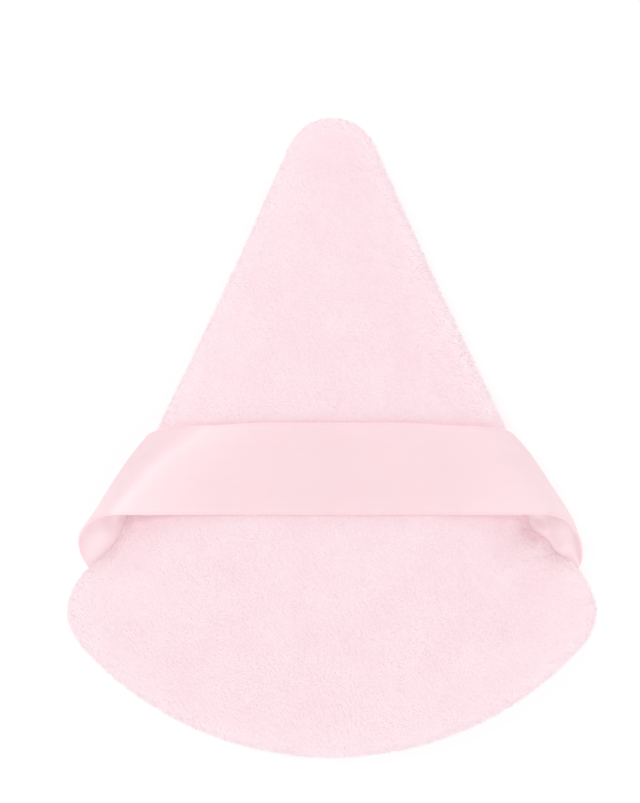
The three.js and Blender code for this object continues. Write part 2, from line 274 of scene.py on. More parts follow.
def gathers(y):
    """How far the cover is drawn in between the stitches that hold the right end of the ribbon."""
    wave = np.sin(math.pi * (y - GATHER_FROM) / GATHER_PITCH) ** 2
    below_top = smoothstep((GATHER_FROM - y) / GATHER_FADE)
    above_end = smoothstep((y - RIGHT_WAIST["end"]) / GATHER_FADE)
    return GATHER_DEPTH * wave * below_top * above_end


for side_name, pull in (("right", RIGHT_WAIST), ("left", LEFT_WAIST)):
    print(f"waist {pull['depth'] / MM:.1f} mm deep on the {side_name}")

# %% [markdown]
# ## The fan pattern
#
# A sewer cuts the puff from a paper pattern. We draw that pattern by spinning one point about the centre
# of each arc in turn, up the right side from the middle of the base to the tip, and mirroring it. An
# outline set in by some distance has the same centres, so one function cuts every layer: the velour, the
# foam and the lines of stitching.

# %% Arcs of the fan
def touching_centre(a, radius_a, b, radius_b, radius):
    """Centre of the circle on the right that touches two others from outside."""
    between = b - a
    reach_a = radius + radius_a
    reach_b = radius + radius_b
    along = (between.length_squared + reach_a**2 - reach_b**2) / (2 * between.length)
    off = math.sqrt(reach_a**2 - along**2)
    unit = between.normalized()
    return a + unit * along + Vector((-unit.y, unit.x, 0)) * off


TIP_CENTRE = Vector((0, TIP_Y - TIP_RADIUS, 0))
BASE_CENTRE = Vector((0, BASE_Y + BASE_RADIUS, 0))
CORNER_X = WIDTH / 2 - CORNER_RADIUS
CORNER_DROP = math.sqrt((BASE_RADIUS - CORNER_RADIUS) ** 2 - CORNER_X**2)
CORNER_CENTRE = Vector((CORNER_X, BASE_CENTRE.y - CORNER_DROP, 0))
SIDE_CENTRE = touching_centre(TIP_CENTRE, TIP_RADIUS, CORNER_CENTRE, CORNER_RADIUS, SIDE_RADIUS)
BASE_STEPS = 36
SIDE_STEPS = 72
ROUND_STEPS = 16
ARCS = [
    (BASE_CENTRE, CORNER_CENTRE - BASE_CENTRE, BASE_STEPS),
    (CORNER_CENTRE, SIDE_CENTRE - CORNER_CENTRE, ROUND_STEPS),
    (SIDE_CENTRE, TIP_CENTRE - SIDE_CENTRE, SIDE_STEPS),
    (TIP_CENTRE, Vector((0, 1, 0)), ROUND_STEPS),
]
print(f"half the outline has {len(ARCS)} arcs")

# %% Fan pattern
MERGE = 0.001 * MM


def cut_fan(bm, inset, pulled_in=True):
    """The fan, set in from the puff's edge, as one face in bm."""
    last = bm.verts.new((0, BASE_Y + inset, 0))
    for centre, towards, steps in ARCS:
        start = last.co - centre
        sweep = math.atan2(start.cross(towards).z, start.dot(towards))
        arc = bmesh.ops.spin(
            bm, geom=[last], cent=centre, axis=(0, 0, 1), dvec=(0, 0, 0), angle=sweep, steps=steps
        )
        last = next(v for v in arc["geom_last"] if isinstance(v, bmesh.types.BMVert))
    last.co.x = 0
    bmesh.ops.mirror(bm, geom=bm.verts[:] + bm.edges[:], axis="X", merge_dist=MERGE)
    if pulled_in:
        for v in bm.verts:
            side = math.copysign(1, v.co.x)
            pull = waist(v.co.y, side) + (gathers(v.co.y) if side > 0 else 0)
            v.co.x -= side * pull
    face = bmesh.ops.contextual_create(bm, geom=bm.edges[:])["faces"][0]
    if face.normal.z < 0:
        face.normal_flip()
    return face


def fan_line(inset, pulled_in=True):
    """The points of a fan's outline, in order, counter-clockwise."""
    bm = bmesh.new()
    face = cut_fan(bm, inset, pulled_in)
    line = np.array([v.co.xy for v in face.verts])
    bm.free()
    return line


edge_line = fan_line(0)
plain_side = fan_line(0, pulled_in=False)
plain_side = plain_side[plain_side[:, 0] > 0]
plain_side = plain_side[np.argsort(plain_side[:, 1])]


def half_width(y):
    """Half the width of the fan before the ribbon pulls it in, at this place along the puff."""
    return np.interp(y, plain_side[:, 1], plain_side[:, 0])


wide, long = np.ptp(edge_line, axis=0) / MM
print(f"outline of {len(edge_line)} points, {wide:.2f} by {long:.2f} mm")

# %% [markdown]
# ## How deep a point lies in the puff
#
# The puff is thin at its seam and full in the middle, so its height depends on how far in from the edge a
# point lies. We measure that distance to the outline for many points at once, and also which way is in,
# because the seam, the hems and the stitches are all set in from the edge.

# %% Depth from the edge
POINTS_AT_ONCE = 4000


def depth_in(points):
    """For each point: how far in from the edge it lies, less than 0 outside, and which way is in."""
    start = edge_line
    run = np.roll(edge_line, -1, axis=0) - start
    left = np.stack([-run[:, 1], run[:, 0]], axis=1)
    left /= np.linalg.norm(left, axis=1, keepdims=True)
    corner = left + np.roll(left, 1, axis=0)
    corner /= np.linalg.norm(corner, axis=1, keepdims=True)
    depths = []
    ways = []
    for some in np.array_split(np.asarray(points)[:, :2], 1 + len(points) // POINTS_AT_ONCE):
        to = some[:, None, :] - start
        share = np.clip((to * run).sum(2) / (run * run).sum(1), 0, 1)
        off = to - share[..., None] * run
        near = np.argmin((off * off).sum(2), axis=1)
        row = np.arange(len(some))
        blend = share[row, near][:, None]
        way = corner[near] * (1 - blend) + corner[(near + 1) % len(start)] * blend
        way /= np.linalg.norm(way, axis=1, keepdims=True)
        off = off[row, near]
        depths.append(np.linalg.norm(off, axis=1) * np.sign((off * way).sum(1)))
        ways.append(way)
    return np.concatenate(depths), np.concatenate(ways)


# %% Height of the faces
SEAM_GAP = 0.3 * MM
FOLD_RADIUS = 0.9 * MM
FRONT_FOLD = SEAM_HEIGHT + SEAM_GAP / 2 + FOLD_RADIUS
BACK_FOLD = SEAM_HEIGHT - SEAM_GAP / 2 - FOLD_RADIUS
FRONT_SHOULDER = 16 * MM
BACK_SHOULDER = 7 * MM
SHOULDER_POWER = 2.4


def shoulder(depth, width):
    """Share of its full height that a soft face has reached at some depth."""
    left = 1 - np.clip(depth / width, 0, 1)
    return (1 - left**SHOULDER_POWER) ** (1 / SHOULDER_POWER)


def face_height(depth, below=0):
    """Height of the front face at some depth, or of a layer that lies below its crown."""
    return FRONT_FOLD + (CROWN_HEIGHT - below - FRONT_FOLD) * shoulder(depth, FRONT_SHOULDER)


def rest_height(depth, above=0):
    """Height of the face that the puff rests on, or of a layer above it."""
    return BACK_FOLD - (BACK_FOLD - above) * shoulder(depth, BACK_SHOULDER)


middle_depth = depth_in(np.array([[0, RIBBON_BOTTOM]]))[0][0]
middle_height = face_height(middle_depth)
print(f"{middle_depth / MM:.1f} mm in from the edge, the face is {middle_height / MM:.1f} mm high")

# %% [markdown]
# ## The velour
#
# Under the pile is the knitted backing, dyed the same pink. Its colour carries painted sheen: it drifts a
# little lighter or darker over a few millimetres, standing in for nap stroked one way or the other, and it
# has a fine grain from the knit. Both come from noise on Object coordinates, because the remeshed skin has
# no UV map. Sheen brightens it towards its edges, as cut pile does.

# %% Helpers for finishes
def new_finish(name):
    """A node material, its tree and its Principled shader."""
    finish = bpy.data.materials.new(name)
    finish.use_nodes = True
    return finish, finish.node_tree, finish.node_tree.nodes["Principled BSDF"]


def on_object(tree):
    """The Object coordinates of a piece."""
    return add_node(tree, "ShaderNodeTexCoord").outputs["Object"]


def noise(tree, where, scale, detail=2.0):
    """Soft noise on the given coordinates, with spots about 1 / scale across."""
    spots = add_node(tree, "ShaderNodeTexNoise")
    set_inputs(spots, {"Scale": scale, "Detail": detail})
    tree.links.new(where, spots.inputs["Vector"])
    return spots.outputs["Fac"]


def ramp(tree, value, span, tints):
    """Colours that go from the first tint to the second as value goes through the span."""
    scale = add_node(tree, "ShaderNodeValToRGB")
    for stop, position, tint in zip(scale.color_ramp.elements, span, tints):
        stop.position = position
        stop.color = (*tint, 1)
    tree.links.new(value, scale.inputs["Fac"])
    return scale.outputs["Color"]


def multiply(tree, one, other):
    """Two colours multiplied, as where one dye lies over another."""
    both = add_node(tree, "ShaderNodeMix", data_type="RGBA", blend_type="MULTIPLY")
    set_inputs(both, {"Factor": 1})
    tree.links.new(one, both.inputs["A"])
    tree.links.new(other, both.inputs["B"])
    return both.outputs["Result"]


def bump(tree, shader, height, strength, distance):
    """Gives a shader a fine relief."""
    relief = add_node(tree, "ShaderNodeBump")
    set_inputs(relief, {"Strength": strength, "Distance": distance})
    tree.links.new(height, relief.inputs["Height"])
    tree.links.new(relief.outputs["Normal"], shader.inputs["Normal"])


# %% Velour backing
NOISE_SPAN = (0.3, 0.7)
NAP_SHEEN_SCALE = 160
# Painted sheen: patches of the backing a little lighter or darker, standing in for nap stroked one way or
# the other.
PAINTED_NAP_SHEEN_TINTS = [(0.985, 0.777, 0.828), (0.99, 0.807, 0.853)]
GRAIN_SCALE = 4500
GRAIN_TINTS = [(0.97, 0.93, 0.94), (1, 1, 1)]
GRAIN_DEPTH = 0.1 * MM
GRAIN_STRENGTH = 0.3

skin_finish, skin_tree, skin_shader = new_finish("velour backing")
on_skin = on_object(skin_tree)
nap_sheen_patches = noise(skin_tree, on_skin, NAP_SHEEN_SCALE)
grain = noise(skin_tree, on_skin, GRAIN_SCALE)
painted_sheen_colour = ramp(skin_tree, nap_sheen_patches, NOISE_SPAN, PAINTED_NAP_SHEEN_TINTS)
grain_colour = ramp(skin_tree, grain, NOISE_SPAN, GRAIN_TINTS)
skin_colour = multiply(skin_tree, painted_sheen_colour, grain_colour)
skin_tree.links.new(skin_colour, skin_shader.inputs["Base Color"])
set_inputs(skin_shader, {"Roughness": 0.95, "Specular IOR Level": 0.15})
set_inputs(skin_shader, {"Sheen Weight": 1, "Sheen Roughness": 0.5})
bump(skin_tree, skin_shader, grain, GRAIN_STRENGTH, GRAIN_DEPTH)
print(f"velour backing with a grain of {1 / GRAIN_SCALE / MM:.2f} mm")

# %% [markdown]
# ## The stuffed cover
#
# The cover takes its shape from the foam that presses it out from inside. We cut a slab to the fan, give
# it an even net of small squares with a voxel remesh, and lift its top and bottom to the height of a full
# puff. Then a short cloth simulation blows it up a little, so that the velour hangs as one stretched skin.
# Blender's cloth is tuned for things the size of furniture, so the puff is simulated at ten times its
# size. How far a point may move is capped, because the foam holds the cover to its own shape. The skin
# stays a little lower than the full puff, because the pile stands on it later.

# %% Helpers for meshes
def make_piece(name, bm, finish):
    """A piece with the mesh of bm, which is freed, and one finish."""
    mesh = bpy.data.meshes.new(name)
    bm.to_mesh(mesh)
    bm.free()
    mesh.materials.append(finish)
    piece = bpy.data.objects.new(name, mesh)
    scene.collection.objects.link(piece)
    return piece


def shade_smooth(mesh):
    mesh.polygons.foreach_set("use_smooth", np.ones(len(mesh.polygons), bool))


def apply_modifiers(piece):
    """Makes what the modifiers show the piece's own mesh."""
    shown = piece.evaluated_get(bpy.context.evaluated_depsgraph_get())
    mesh = bpy.data.meshes.new_from_object(shown)
    piece.modifiers.clear()
    piece.data = mesh
    shade_smooth(mesh)


def points_of(mesh):
    points = np.empty(len(mesh.vertices) * 3)
    mesh.vertices.foreach_get("co", points)
    return points.reshape(-1, 3)


def move_points(mesh, points):
    mesh.vertices.foreach_set("co", points.astype(np.float32).ravel())
    mesh.update()


# %% Helpers for slabs
def fan_slab(name, inset, voxel, finish):
    """A slab cut to the fan, with an even net of small faces."""
    bm = bmesh.new()
    face = cut_fan(bm, inset)
    raised = bmesh.ops.extrude_face_region(bm, geom=[face])["geom"]
    top = [v for v in raised if isinstance(v, bmesh.types.BMVert)]
    bmesh.ops.translate(bm, verts=top, vec=(0, 0, CROWN_HEIGHT))
    bmesh.ops.recalc_face_normals(bm, faces=bm.faces)
    slab = make_piece(name, bm, finish)
    net = slab.modifiers.new("net", "REMESH")
    net.mode = "VOXEL"
    net.voxel_size = voxel
    apply_modifiers(slab)
    return slab


def shape_slab(slab, bottom, top):
    """Moves a slab's under side to the heights of bottom and its upper side to those of top."""
    points = points_of(slab.data)
    lift = smoothstep(points[:, 2] / CROWN_HEIGHT)
    points[:, 2] = bottom * (1 - lift) + top * lift
    move_points(slab.data, points)


# %% Shape of the cover
VOXEL = 0.75 * MM
SKIN_INSET = 0.22 * MM
SLACK = 0.7 * MM

skin = fan_slab("skin", 0, VOXEL, skin_finish)
depth = np.maximum(depth_in(points_of(skin.data))[0] - VOXEL / 2, 0)
shape_slab(skin, rest_height(depth, SKIN_INSET), face_height(depth, SKIN_INSET + SLACK))
print(f"slack skin of {len(skin.data.polygons)} faces")

# %% Stuffing
SIM_SCALE = 10
SIM_FRAMES = 20
SIM_QUALITY = 4
SIM_PRESSURE = 0.3
SIM_CAP = 0.8 * MM
STILL = 1e-9


def blow_up(piece):
    """Inflates the piece with a short cloth simulation, and keeps the result as far as the cap."""
    slack = points_of(piece.data)
    move_points(piece.data, slack * SIM_SCALE)
    cloth = piece.modifiers.new("cloth", "CLOTH")
    cloth.settings.quality = SIM_QUALITY
    cloth.settings.use_pressure = True
    cloth.settings.uniform_pressure_force = SIM_PRESSURE
    cloth.settings.effector_weights.gravity = 0
    for number in range(1, SIM_FRAMES + 1):
        scene.frame_set(number)
    apply_modifiers(piece)
    scene.frame_set(1)
    moved = points_of(piece.data) / SIM_SCALE - slack
    length = np.linalg.norm(moved, axis=1, keepdims=True)
    full = slack + moved * np.minimum(1, SIM_CAP / np.maximum(length, STILL))
    full[:, 2] = np.clip(full[:, 2], SKIN_INSET, CROWN_HEIGHT - SKIN_INSET)
    move_points(piece.data, full)
    return length


swelling = blow_up(skin)
print(f"swelled by {swelling.mean() / MM:.2f} mm on average, {swelling.max() / MM:.2f} mm at most")
print(f"skin {points_of(skin.data)[:, 2].max() / MM:.2f} mm high")

# %% [markdown]
# ## The seam
#
# The two fans meet at the side, where each turns in over a round fold. The simulation needs a plain wall
# there, so the seam comes after it: we press the wall in along the middle until the two folds show, with
# a narrow groove between them. One level of subdivision then smooths the whole skin.

# %% Seam round the side
WALL_DEPTH = 1 * MM
WALL_FADE = 0.5 * MM

points = points_of(skin.data)
depth, way_in = depth_in(points)
beside = np.abs(points[:, 2] - SEAM_HEIGHT) - SEAM_GAP / 2
turned = np.clip((FOLD_RADIUS - beside) / FOLD_RADIUS, 0, 1)
groove = FOLD_RADIUS * (1 - np.sqrt(1 - turned**2))
on_wall = smoothstep((WALL_DEPTH - depth) / WALL_FADE)
points[:, :2] += way_in * (groove * on_wall)[:, None]
move_points(skin.data, points)
smoother = skin.modifiers.new("smoother", "SUBSURF")
smoother.levels = 1
smoother.render_levels = 1
apply_modifiers(skin)
print(f"seam pressed in by {groove.max() / MM:.2f} mm")

# %% [markdown]
# ## The two covers
#
# The real cover is two panels, so the skin is cut in two along the groove. The edge of each panel turns
# in between the folds as a hem, which is what the seam is sewn through. We extrude the cut edge inwards,
# and then give the panel the thickness of the velour's backing, on its inner side.

# %% Helpers for covers
HEM = 1.6 * MM


def thicken(piece, thickness, thinner, offset, thick_points):
    """Gives a skin its thickness: full at the given points, and a share of it, thinner, elsewhere."""
    group = piece.vertex_groups.new(name="thick")
    group.add([int(i) for i in thick_points], 1, "REPLACE")
    wall = piece.modifiers.new("wall", "SOLIDIFY")
    wall.thickness = thickness
    wall.offset = offset
    wall.vertex_group = group.name
    wall.thickness_vertex_group = thinner
    apply_modifiers(piece)
    piece.vertex_groups.clear()


def half_skin(name, up):
    """The part of the skin above the seam (up = 1) or below it (up = -1), with its hem turned in."""
    bm = bmesh.new()
    bm.from_mesh(skin.data)
    everything = bm.verts[:] + bm.edges[:] + bm.faces[:]
    seam_side = SEAM_HEIGHT + up * SEAM_GAP / 2
    bmesh.ops.bisect_plane(
        bm, geom=everything, plane_co=(0, 0, seam_side), plane_no=(0, 0, up), clear_inner=True
    )
    rim = [e for e in bm.edges if e.is_boundary]
    turned_in = bmesh.ops.extrude_edge_only(bm, edges=rim)["geom"]
    hem = [v for v in turned_in if isinstance(v, bmesh.types.BMVert)]
    ways = depth_in(np.array([v.co for v in hem]))[1]
    for v, way in zip(hem, ways):
        v.co.xy += Vector(way) * HEM
    bmesh.ops.recalc_face_normals(bm, faces=bm.faces)
    return make_piece(name, bm, skin_finish)


# %% Covers
HEM_THICKNESS = 1.6 * MM
BACKING = 0.8 * MM


def make_cover(name, node, up):
    cover = half_skin(name, up)
    hem = np.abs(points_of(cover.data)[:, 2] - SEAM_HEIGHT) < SEAM_GAP
    thicken(cover, HEM_THICKNESS, BACKING / HEM_THICKNESS, -1, np.flatnonzero(hem))
    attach(cover, "pad")
    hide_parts(node)
    print(f"{name}: {len(cover.data.polygons)} faces")


make_cover("front_cover", "front_panel", 1)
make_cover("back_cover", "back_panel", -1)

# %% [markdown]
# ## The pile
#
# Velour is a knit with a cut pile: short fibres that stand up all over it. They give the puff its soft
# edge and its matt face. A bump in the material would leave the outline as sharp as plastic, so the pile
# is real: geometry nodes scatter points over the skin, and stand a thin three-sided fibre on each. The
# fibres lean a little towards the base, the way the nap is brushed, and each is turned and sized at
# random from a fixed seed. Three tints of yarn keep the face from looking dyed in one flat colour.

# %% Yarns
def yarn(name, colour):
    finish, _, shader = new_finish(name)
    set_inputs(shader, {"Base Color": (*colour, 1), "Roughness": 0.9, "Specular IOR Level": 0.2})
    set_inputs(shader, {"Sheen Weight": 0.3, "Sheen Roughness": 0.5})
    return finish


yarns = [
    yarn("pale pile yarn", (0.995, 0.9, 0.925)),
    yarn("pile yarn", (0.99, 0.88, 0.91)),
    yarn("deep pile yarn", (0.99, 0.86, 0.895)),
]
print("yarns:", ", ".join(finish.name for finish in yarns))

# %% Fibres on a skin
PILE = 0.4 * MM
FIBRE_ROOT = 0.08 * MM
FIBRE_WIDTH = 0.055 * MM
FIBRE_SIDES = 3
FIBRE_SMALLEST = (0.7, 0.7, 0.75)
FIBRE_LARGEST = (1.2, 1.2, 1.05)
NAP = (0, -0.15, 0)
STRAY = 0.22
CLEAR_OF_SEAM = 0.35 * MM


def draw(tree, kind, low, high, seed):
    """A random value from low to high for each fibre."""
    drawn = add_node(tree, "FunctionNodeRandomValue", data_type=kind)
    set_inputs(drawn, {"Min": low, "Max": high, "Seed": seed})
    return drawn.outputs["Value"]


def planted_roots(tree, skin_geometry, up, seed, density):
    """Roots all over the skin except down in the seam, sunk a little, and the way up from the skin."""
    place = add_node(tree, "GeometryNodeInputPosition")
    split = add_node(tree, "ShaderNodeSeparateXYZ")
    tree.links.new(place.outputs[0], split.inputs[0])
    clear = add_node(tree, "FunctionNodeCompare", operation="GREATER_THAN" if up > 0 else "LESS_THAN")
    set_inputs(clear, {"B": SEAM_HEIGHT + up * (SEAM_GAP / 2 + CLEAR_OF_SEAM)})
    tree.links.new(split.outputs["Z"], clear.inputs["A"])
    roots = add_node(tree, "GeometryNodeDistributePointsOnFaces")
    set_inputs(roots, {"Density": density, "Seed": seed})
    tree.links.new(skin_geometry, roots.inputs["Mesh"])
    tree.links.new(clear.outputs[0], roots.inputs["Selection"])
    sunk = add_node(tree, "ShaderNodeVectorMath", operation="SCALE")
    set_inputs(sunk, {"Scale": -FIBRE_ROOT})
    tree.links.new(roots.outputs["Normal"], sunk.inputs[0])
    planted = add_node(tree, "GeometryNodeSetPosition")
    tree.links.new(roots.outputs["Points"], planted.inputs["Geometry"])
    tree.links.new(sunk.outputs[0], planted.inputs["Offset"])
    return planted.outputs[0], roots.outputs["Normal"]


def fibre_turn(tree, upright, seed):
    """How a fibre stands on the skin: brushed along the nap and a little astray."""
    brushed = add_node(tree, "ShaderNodeVectorMath", operation="ADD")
    brushed.inputs[1].default_value = NAP
    tree.links.new(upright, brushed.inputs[0])
    leaning = add_node(tree, "ShaderNodeVectorMath", operation="ADD")
    tree.links.new(brushed.outputs[0], leaning.inputs[0])
    tree.links.new(draw(tree, "FLOAT_VECTOR", (-STRAY,) * 3, (STRAY,) * 3, seed), leaning.inputs[1])
    turned = add_node(tree, "FunctionNodeAlignRotationToVector", axis="Z")
    tree.links.new(leaning.outputs[0], turned.inputs["Vector"])
    return turned.outputs[0]


def fibres_to_choose(tree):
    """One thin cone in each tint of yarn."""
    tints = add_node(tree, "GeometryNodeGeometryToInstance")
    for finish in yarns:
        fibre = add_node(tree, "GeometryNodeMeshCone")
        set_inputs(fibre, {"Vertices": FIBRE_SIDES, "Radius Top": 0, "Radius Bottom": FIBRE_WIDTH / 2})
        set_inputs(fibre, {"Depth": PILE + FIBRE_ROOT})
        dyed = add_node(tree, "GeometryNodeSetMaterial")
        set_inputs(dyed, {"Material": finish})
        tree.links.new(fibre.outputs["Mesh"], dyed.inputs["Geometry"])
        tree.links.new(dyed.outputs[0], tints.inputs["Geometry"])
    return tints.outputs[0]


def pile_nodes(name, up, seed, density):
    """Geometry nodes that swap a skin for the fibres that stand on it."""
    tree = bpy.data.node_groups.new(name, "GeometryNodeTree")
    tree.interface.new_socket("Skin", in_out="INPUT", socket_type="NodeSocketGeometry")
    tree.interface.new_socket("Pile", in_out="OUTPUT", socket_type="NodeSocketGeometry")
    given = add_node(tree, "NodeGroupInput")
    made = add_node(tree, "NodeGroupOutput")
    roots, upright = planted_roots(tree, given.outputs[0], up, seed, density)
    choices = {
        "Points": roots,
        "Rotation": fibre_turn(tree, upright, seed + 1),
        "Scale": draw(tree, "FLOAT_VECTOR", FIBRE_SMALLEST, FIBRE_LARGEST, seed + 2),
        "Instance": fibres_to_choose(tree),
        "Instance Index": draw(tree, "INT", 0, len(yarns) - 1, seed + 3),
    }
    standing = add_node(tree, "GeometryNodeInstanceOnPoints")
    set_inputs(standing, {"Pick Instance": True})
    for socket, choice in choices.items():
        tree.links.new(choice, standing.inputs[socket])
    real = add_node(tree, "GeometryNodeRealizeInstances")
    tree.links.new(standing.outputs[0], real.inputs[0])
    tree.links.new(real.outputs[0], made.inputs[0])
    return tree


# %% Pile of velour
FIBRES_PER_PIECE = 48000
FLOOR_CLEARANCE = 0.02 * MM
SEED_STEP = 10


def make_pile(name, up, seed):
    pile = half_skin(name, up)
    area = sum(p.area for p in pile.data.polygons)
    nodes = pile.modifiers.new("pile", "NODES")
    nodes.node_group = pile_nodes(name, up, seed, FIBRES_PER_PIECE / area)
    apply_modifiers(pile)
    standing = points_of(pile.data)
    standing[:, 2] = np.maximum(standing[:, 2], FLOOR_CLEARANCE)
    move_points(pile.data, standing)
    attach(pile, "pad")
    print(f"{name}: {len(pile.data.polygons)} faces")
    return pile


front_piles = [make_pile(f"front_pile_{number}", 1, SEED_STEP * number) for number in (1, 2)]
for number in (1, 2):
    make_pile(f"back_pile_{number}", -1, SEED_STEP * (2 + number))
bpy.data.objects.remove(skin)

# %% [markdown]
# ## The foam core
#
# Inside is a fan of soft open-cell foam, die-cut a little smaller than the cover. Nobody sees it in use,
# but the puff is hollow without it. It is a slab like the cover's, with the same shoulders, and its
# finish shows the cells: a Voronoi pattern, lower in the middle of each cell, with painted shade that
# makes each cell's middle darker.

# %% Finish of the foam
CELL_SCALE = 2200
CELL_SPAN = (0.1, 0.6)
# Painted shade: the middle of each cell, the hollow of a pore, is darker than its rim.
PAINTED_CELL_SHADE_TINTS = [(0.85, 0.7, 0.66), (0.98, 0.9, 0.84)]
CELL_DEPTH = 0.3 * MM
CELL_STRENGTH = 0.8

foam_finish, foam_tree, foam_shader = new_finish("open-cell foam")
cells = add_node(foam_tree, "ShaderNodeTexVoronoi")
set_inputs(cells, {"Scale": CELL_SCALE})
foam_tree.links.new(on_object(foam_tree), cells.inputs["Vector"])
from_cell_middle = cells.outputs["Distance"]
painted_cell_shade = ramp(foam_tree, from_cell_middle, CELL_SPAN, PAINTED_CELL_SHADE_TINTS)
foam_tree.links.new(painted_cell_shade, foam_shader.inputs["Base Color"])
set_inputs(foam_shader, {"Roughness": 0.9})
bump(foam_tree, foam_shader, from_cell_middle, CELL_STRENGTH, CELL_DEPTH)
print(f"foam with cells of {1 / CELL_SCALE / MM:.2f} mm")

# %% Foam core
FOAM_INSET = 3.3 * MM
FOAM_VOXEL = 0.9 * MM
FOAM_TOP = 9.5 * MM
FOAM_TOP_EDGE = 6.45 * MM
FOAM_BOTTOM = 1.7 * MM
FOAM_BOTTOM_EDGE = 3.95 * MM
COVER_THICKNESS = 1.4 * MM

foam = fan_slab("foam_core", FOAM_INSET, FOAM_VOXEL, foam_finish)
depth = depth_in(points_of(foam.data))[0] - COVER_THICKNESS
foam_top = FOAM_TOP_EDGE + (FOAM_TOP - FOAM_TOP_EDGE) * shoulder(depth, FRONT_SHOULDER)
foam_bottom = FOAM_BOTTOM_EDGE - (FOAM_BOTTOM_EDGE - FOAM_BOTTOM) * shoulder(depth, BACK_SHOULDER)
shape_slab(foam, foam_bottom, foam_top)
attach(foam, "pad")
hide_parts("sponge_core")
print(f"foam {np.ptp(points_of(foam.data)[:, 2]) / MM:.1f} mm thick, {len(foam.data.polygons)} faces")

# %% [markdown]
# ## The seam's thread
#
# The edge is sewn with a lockstitch before the cover is turned out, so its thread lies on the inner sides
# of the two hems: a row of short stitches on each. One stitch is a long smooth bead, set round the fan at
# an even pitch.

# %% Finish of the thread
TWIST_SCALE = 6000
TWIST_DETAIL = 3
TWIST_TINTS = [(0.95, 0.7, 0.76), (0.98, 0.77, 0.82)]
TWIST_DEPTH = 0.05 * MM
TWIST_STRENGTH = 0.5

thread_finish, thread_tree, thread_shader = new_finish("spun thread")
twist = noise(thread_tree, on_object(thread_tree), TWIST_SCALE, TWIST_DETAIL)
twist_colour = ramp(thread_tree, twist, NOISE_SPAN, TWIST_TINTS)
thread_tree.links.new(twist_colour, thread_shader.inputs["Base Color"])
set_inputs(thread_shader, {"Roughness": 0.6})
bump(thread_tree, thread_shader, twist, TWIST_STRENGTH, TWIST_DEPTH)
print(f"thread with a twist of {1 / TWIST_SCALE / MM:.2f} mm")

# %% Lockstitch on the hems
STITCH_INSET = 2.2 * MM
STITCH_PITCH = 2.4 * MM
STITCH_SIZE = (1.05 * MM, 0.2 * MM, 0.16 * MM)
BEAD_SEGMENTS = 8
BEAD_RINGS = 6


def places_along(line, pitch):
    """Points at an even pitch along a closed line, and the way the line runs at each."""
    closed = np.vstack([line, line[:1]])
    steps = np.linalg.norm(np.diff(closed, axis=0), axis=1)
    along = np.concatenate([[0], np.cumsum(steps)])
    count = int(along[-1] / pitch)
    at = np.arange(count) * along[-1] / count
    spots = np.stack([np.interp(at, along, closed[:, k]) for k in (0, 1)], axis=1)
    leg = np.searchsorted(along, at, side="right") - 1
    return spots, np.diff(closed, axis=0)[leg] / steps[leg][:, None]


def lockstitch(name, node):
    """A row of stitches at the height of the thread's solid."""
    low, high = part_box(node)
    size = Matrix.Diagonal((*STITCH_SIZE, 1))
    bm = bmesh.new()
    for spot, way in zip(*places_along(fan_line(STITCH_INSET), STITCH_PITCH)):
        turn = Matrix.Rotation(math.atan2(way[1], way[0]), 4, "Z")
        place = Matrix.Translation((*spot, (low.z + high.z) / 2)) @ turn @ size
        bmesh.ops.create_uvsphere(
            bm, u_segments=BEAD_SEGMENTS, v_segments=BEAD_RINGS, radius=1, matrix=place
        )
    row = make_piece(name, bm, thread_finish)
    shade_smooth(row.data)
    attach(row, "pad")
    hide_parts(node)
    print(f"{name}: {len(row.data.polygons)} faces")


lockstitch("needle_stitches", "needle_thread")
lockstitch("bobbin_stitches", "bobbin_thread")

# %% [markdown]
# ## The closing stitch
#
# The cover was turned out through a gap on its upper left side, and the gap was then sewn shut by hand.
# Each stitch is a short loop of thread from one fold to the other. We spin a small ring of points part of
# the way round the seam, so that both ends of the loop go down into the pile.

# %% Loops of the closing stitch
CLOSING_TOP = 30 * MM
CLOSING_BOTTOM = 6 * MM
CLOSING_PITCH = 1.6 * MM
LOOP_RADIUS = 0.85 * MM
LOOP_INSET = 1.1 * MM
LOOP_SWEEP = math.radians(150)
LOOP_SLANT = math.radians(28)
LOOP_THREAD = 0.13 * MM
LOOP_SIDES = 6
LOOP_STEPS = 8


def left_edge(y):
    """A point on the left side, above the waist, and the way that is out of the puff there."""
    spot = np.array([[-half_width(y), y]])
    return spot[0], -depth_in(spot)[1][0]


def add_loop(bm, y):
    """One open loop of thread, from fold to fold."""
    spot, out = left_edge(y)
    way_out = Vector((*out, 0))
    centre = Vector((*spot, SEAM_HEIGHT)) - way_out * LOOP_INSET
    along_seam = Vector((0, 0, 1)).cross(way_out)
    axis = Matrix.Rotation(LOOP_SLANT, 3, way_out) @ along_seam
    first = Matrix.Rotation(-LOOP_SWEEP / 2, 3, axis) @ way_out
    facing = axis.cross(first).to_track_quat("Z", "Y").to_matrix().to_4x4()
    place = Matrix.Translation(centre + first * LOOP_RADIUS) @ facing
    ring = bmesh.ops.create_circle(bm, segments=LOOP_SIDES, radius=LOOP_THREAD, matrix=place)["verts"]
    edges = list({e for v in ring for e in v.link_edges})
    bmesh.ops.spin(
        bm, geom=ring + edges, cent=centre, axis=axis, dvec=(0, 0, 0), angle=LOOP_SWEEP, steps=LOOP_STEPS
    )


# %% Closing stitch
closing_bm = bmesh.new()
for y in np.arange(CLOSING_TOP, CLOSING_BOTTOM, -CLOSING_PITCH):
    add_loop(closing_bm, y)
open_ends = [e for e in closing_bm.edges if e.is_boundary]
bmesh.ops.holes_fill(closing_bm, edges=open_ends, sides=LOOP_SIDES)
bmesh.ops.recalc_face_normals(closing_bm, faces=closing_bm.faces)
closing = make_piece("closing_loops", closing_bm, thread_finish)
shade_smooth(closing.data)
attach(closing, "pad")
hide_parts("closing_stitch")
print(f"closing stitch of {len(closing.data.polygons)} faces")

